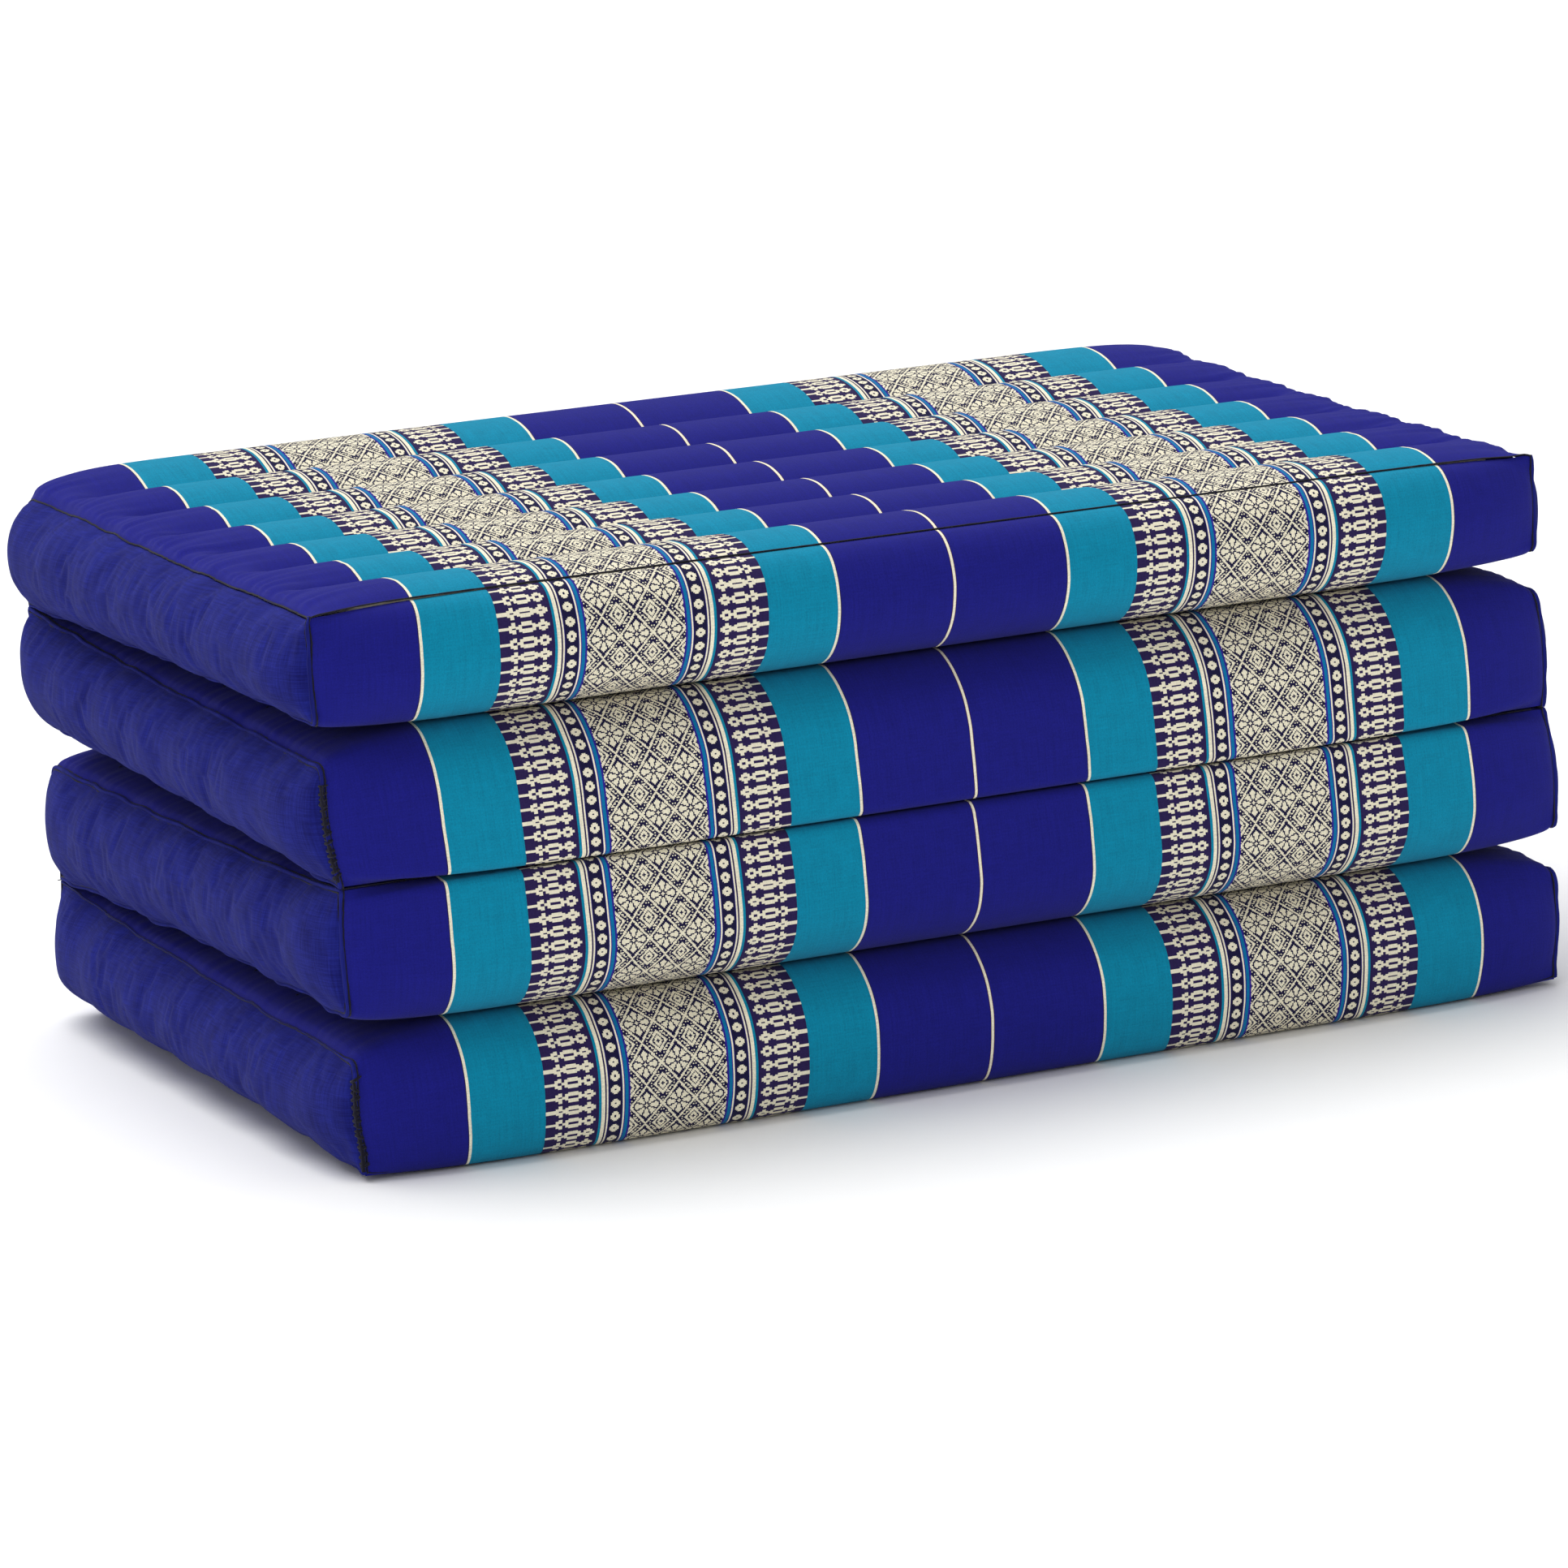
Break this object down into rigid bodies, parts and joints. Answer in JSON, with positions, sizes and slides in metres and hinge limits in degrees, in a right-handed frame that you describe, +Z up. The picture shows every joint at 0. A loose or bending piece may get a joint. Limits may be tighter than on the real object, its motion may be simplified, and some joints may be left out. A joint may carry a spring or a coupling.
{
  "type": "folding mattress",
  "caption": "Zigzag folding mattress of stuffed, channelled panels in striped woven cloth, stacked like a low pouf; its sewn folds open out into a flat floor bed.",
  "frame": {"origin": "middle of the base of the folded stack, on the floor", "axes": "+X along the width, towards the right end seen from the front; -Y towards the front, where the middle fold line is; +Z up"},
  "size_m": [0.8, 0.503, 0.3515],
  "materials": {
    "striped_cover_cloth": "woven cotton with lengthwise stripes and brocaded bands: blue, turquoise, cream and dark violet, matt",
    "plain_gusset_cloth": "plain blue woven cotton, slightly slubby, matt",
    "kapok": "loose cream seed fibre packed into rolls",
    "cotton_baffle": "undyed cotton",
    "seam_thread": "dark overlock and lockstitch thread"
  },
  "bodies": {
    "bottom_panel": {"bottom_panel_under_sheet": "striped_cover_cloth", "bottom_panel_sleeping_sheet": "striped_cover_cloth", "bottom_panel_left_gusset": "plain_gusset_cloth", "bottom_panel_right_gusset": "plain_gusset_cloth", "bottom_panel_roll_1": "kapok", "bottom_panel_roll_2": "kapok", "bottom_panel_roll_3": "kapok", "bottom_panel_roll_4": "kapok", "bottom_panel_roll_5": "kapok", "bottom_panel_roll_6": "kapok", "bottom_panel_roll_7": "kapok", "bottom_panel_baffles": "cotton_baffle", "bottom_panel_edge_seams": "seam_thread", "bottom_panel_channel_stitching": "seam_thread", "lower_back_fold_seam": "seam_thread"},
    "lower_panel": {"lower_panel_under_sheet": "striped_cover_cloth", "lower_panel_sleeping_sheet": "striped_cover_cloth", "lower_panel_left_gusset": "plain_gusset_cloth", "lower_panel_right_gusset": "plain_gusset_cloth", "lower_panel_roll_1": "kapok", "lower_panel_roll_2": "kapok", "lower_panel_roll_3": "kapok", "lower_panel_roll_4": "kapok", "lower_panel_roll_5": "kapok", "lower_panel_roll_6": "kapok", "lower_panel_roll_7": "kapok", "lower_panel_baffles": "cotton_baffle", "lower_panel_edge_seams": "seam_thread", "lower_panel_channel_stitching": "seam_thread", "front_fold_seam": "seam_thread"},
    "upper_panel": {"upper_panel_under_sheet": "striped_cover_cloth", "upper_panel_sleeping_sheet": "striped_cover_cloth", "upper_panel_left_gusset": "plain_gusset_cloth", "upper_panel_right_gusset": "plain_gusset_cloth", "upper_panel_roll_1": "kapok", "upper_panel_roll_2": "kapok", "upper_panel_roll_3": "kapok", "upper_panel_roll_4": "kapok", "upper_panel_roll_5": "kapok", "upper_panel_roll_6": "kapok", "upper_panel_roll_7": "kapok", "upper_panel_baffles": "cotton_baffle", "upper_panel_edge_seams": "seam_thread", "upper_panel_channel_stitching": "seam_thread", "upper_back_fold_seam": "seam_thread"},
    "top_panel": {"top_panel_under_sheet": "striped_cover_cloth", "top_panel_sleeping_sheet": "striped_cover_cloth", "top_panel_left_gusset": "plain_gusset_cloth", "top_panel_right_gusset": "plain_gusset_cloth", "top_panel_roll_1": "kapok", "top_panel_roll_2": "kapok", "top_panel_roll_3": "kapok", "top_panel_roll_4": "kapok", "top_panel_roll_5": "kapok", "top_panel_roll_6": "kapok", "top_panel_roll_7": "kapok", "top_panel_baffles": "cotton_baffle", "top_panel_edge_seams": "seam_thread", "top_panel_channel_stitching": "seam_thread"}
  },
  "joints": [
    {"name": "lower_back_fold", "type": "hinge", "parent": "bottom_panel", "child": "lower_panel", "pos_m": [0, 0.25, 0.08775], "axis": [-1, 0, 0], "range_deg": [0, 180]},
    {"name": "front_fold", "type": "hinge", "parent": "lower_panel", "child": "upper_panel", "pos_m": [0, -0.25, 0.17575], "axis": [1, 0, 0], "range_deg": [0, 180]},
    {"name": "upper_back_fold", "type": "hinge", "parent": "upper_panel", "child": "top_panel", "pos_m": [0, 0.25, 0.26375], "axis": [-1, 0, 0], "range_deg": [0, 180]}
  ]
}
